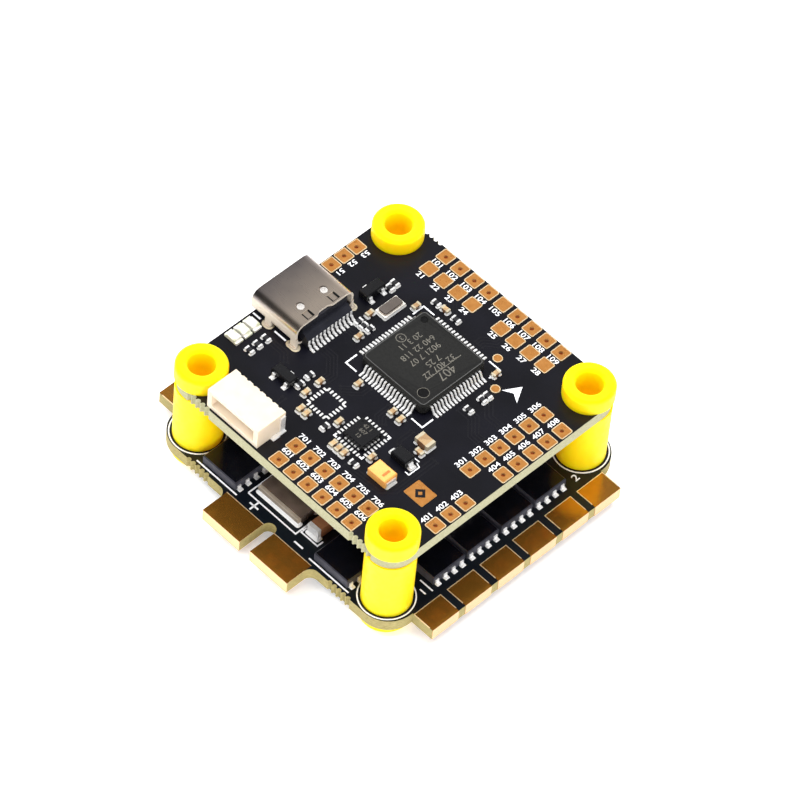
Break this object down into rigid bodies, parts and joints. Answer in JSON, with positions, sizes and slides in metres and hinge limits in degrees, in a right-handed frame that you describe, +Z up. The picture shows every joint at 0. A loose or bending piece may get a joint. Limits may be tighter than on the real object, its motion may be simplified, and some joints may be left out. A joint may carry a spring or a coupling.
{
  "type": "flight controller stack",
  "caption": "Square drone flight controller board stacked above a motor driver board on four bored silicone grommets.",
  "frame": {"origin": "centre of the mounting hole pattern, level with the lower faces of the grommets", "axes": "+Y forward, +X right, +Z up from the motor driver board to the flight controller"},
  "size_m": [0.0442, 0.0411, 0.0166],
  "materials": {
    "board_laminate": "satin black solder mask over glass-epoxy laminate",
    "gold_plating": "immersion gold over copper, satin",
    "silicone": "bright yellow moulded silicone, satin",
    "chip_epoxy": "fine matt moulding compound",
    "tinned_metal": "bright tin plate",
    "shell_steel": "nickel-plated stainless sheet",
    "black_nylon": "satin moulded nylon",
    "ivory_nylon": "satin ivory moulded nylon",
    "capacitor_ceramic": "semi-gloss fired ceramic, tan",
    "resistor_film": "gloss black overcoat",
    "white_ceramic": "matt white alumina",
    "tantalum_resin": "semi-gloss amber resin with a polarity bar",
    "led_lens": "milky silicone lens",
    "inductor_ferrite": "matt pressed metal powder",
    "shunt_alloy": "matt coated resistance alloy",
    "switch_steel": "tinned sheet steel",
    "button_plastic": "moulded plunger"
  },
  "bodies": {
    "stack": {"barometer": "shell_steel", "battery_pads": "gold_plating", "boot_switch_case": "switch_steel", "boot_switch_terminals": "tinned_metal", "buck_regulators": "chip_epoxy", "crystal_ceramic": "white_ceramic", "crystal_lid": "shell_steel", "current_shunt": "shunt_alloy", "driver_board": "board_laminate", "driver_capacitor_ends": "tinned_metal", "driver_capacitors": "capacitor_ceramic", "driver_chip_terminals": "tinned_metal", "driver_link_housing": "ivory_nylon", "driver_link_pins": "tinned_metal", "driver_supply_chips": "chip_epoxy", "fc_board": "board_laminate", "fc_capacitor_ends": "tinned_metal", "fc_capacitors": "capacitor_ceramic", "fc_link_housing": "ivory_nylon", "fc_link_pins": "tinned_metal", "fc_lower_capacitor_ends": "tinned_metal", "fc_lower_capacitors": "capacitor_ceramic", "fc_resistor_ends": "tinned_metal", "fc_resistors": "resistor_film", "fc_solder_pads": "gold_plating", "flash_chip": "chip_epoxy", "gate_drivers": "chip_epoxy", "grommet_front_left": "silicone", "grommet_front_right": "silicone", "grommet_rear_left": "silicone", "grommet_rear_right": "silicone", "gyro_package": "chip_epoxy", "gyro_terminals": "tinned_metal", "left_motor_pads": "gold_plating", "lower_mosfet_leads": "tinned_metal", "lower_mosfets": "chip_epoxy", "mcu_leads": "tinned_metal", "mcu_package": "chip_epoxy", "motor_processors": "chip_epoxy", "osd_chip": "chip_epoxy", "osd_chip_leads": "tinned_metal", "power_inductor_terminals": "tinned_metal", "power_inductors": "inductor_ferrite", "rectifier_diode": "chip_epoxy", "rectifier_leads": "tinned_metal", "right_motor_pads": "gold_plating", "shunt_terminals": "tinned_metal", "small_transistor_leads": "tinned_metal", "small_transistors": "chip_epoxy", "status_leds": "led_lens", "tantalum_capacitor": "tantalum_resin", "tantalum_terminals": "tinned_metal", "uart_connector_housing": "ivory_nylon", "uart_connector_pins": "tinned_metal", "upper_mosfet_leads": "tinned_metal", "upper_mosfets": "chip_epoxy", "usb_contacts": "tinned_metal", "usb_insulator": "black_nylon", "usb_shell": "shell_steel"},
    "button": {"boot_button": "button_plastic"}
  },
  "joints": [
    {"name": "boot_press", "type": "slide", "parent": "stack", "child": "button", "axis": [1, 0, 0], "range_m": [0, 0.00025], "stiffness_N_per_m": 4000}
  ]
}
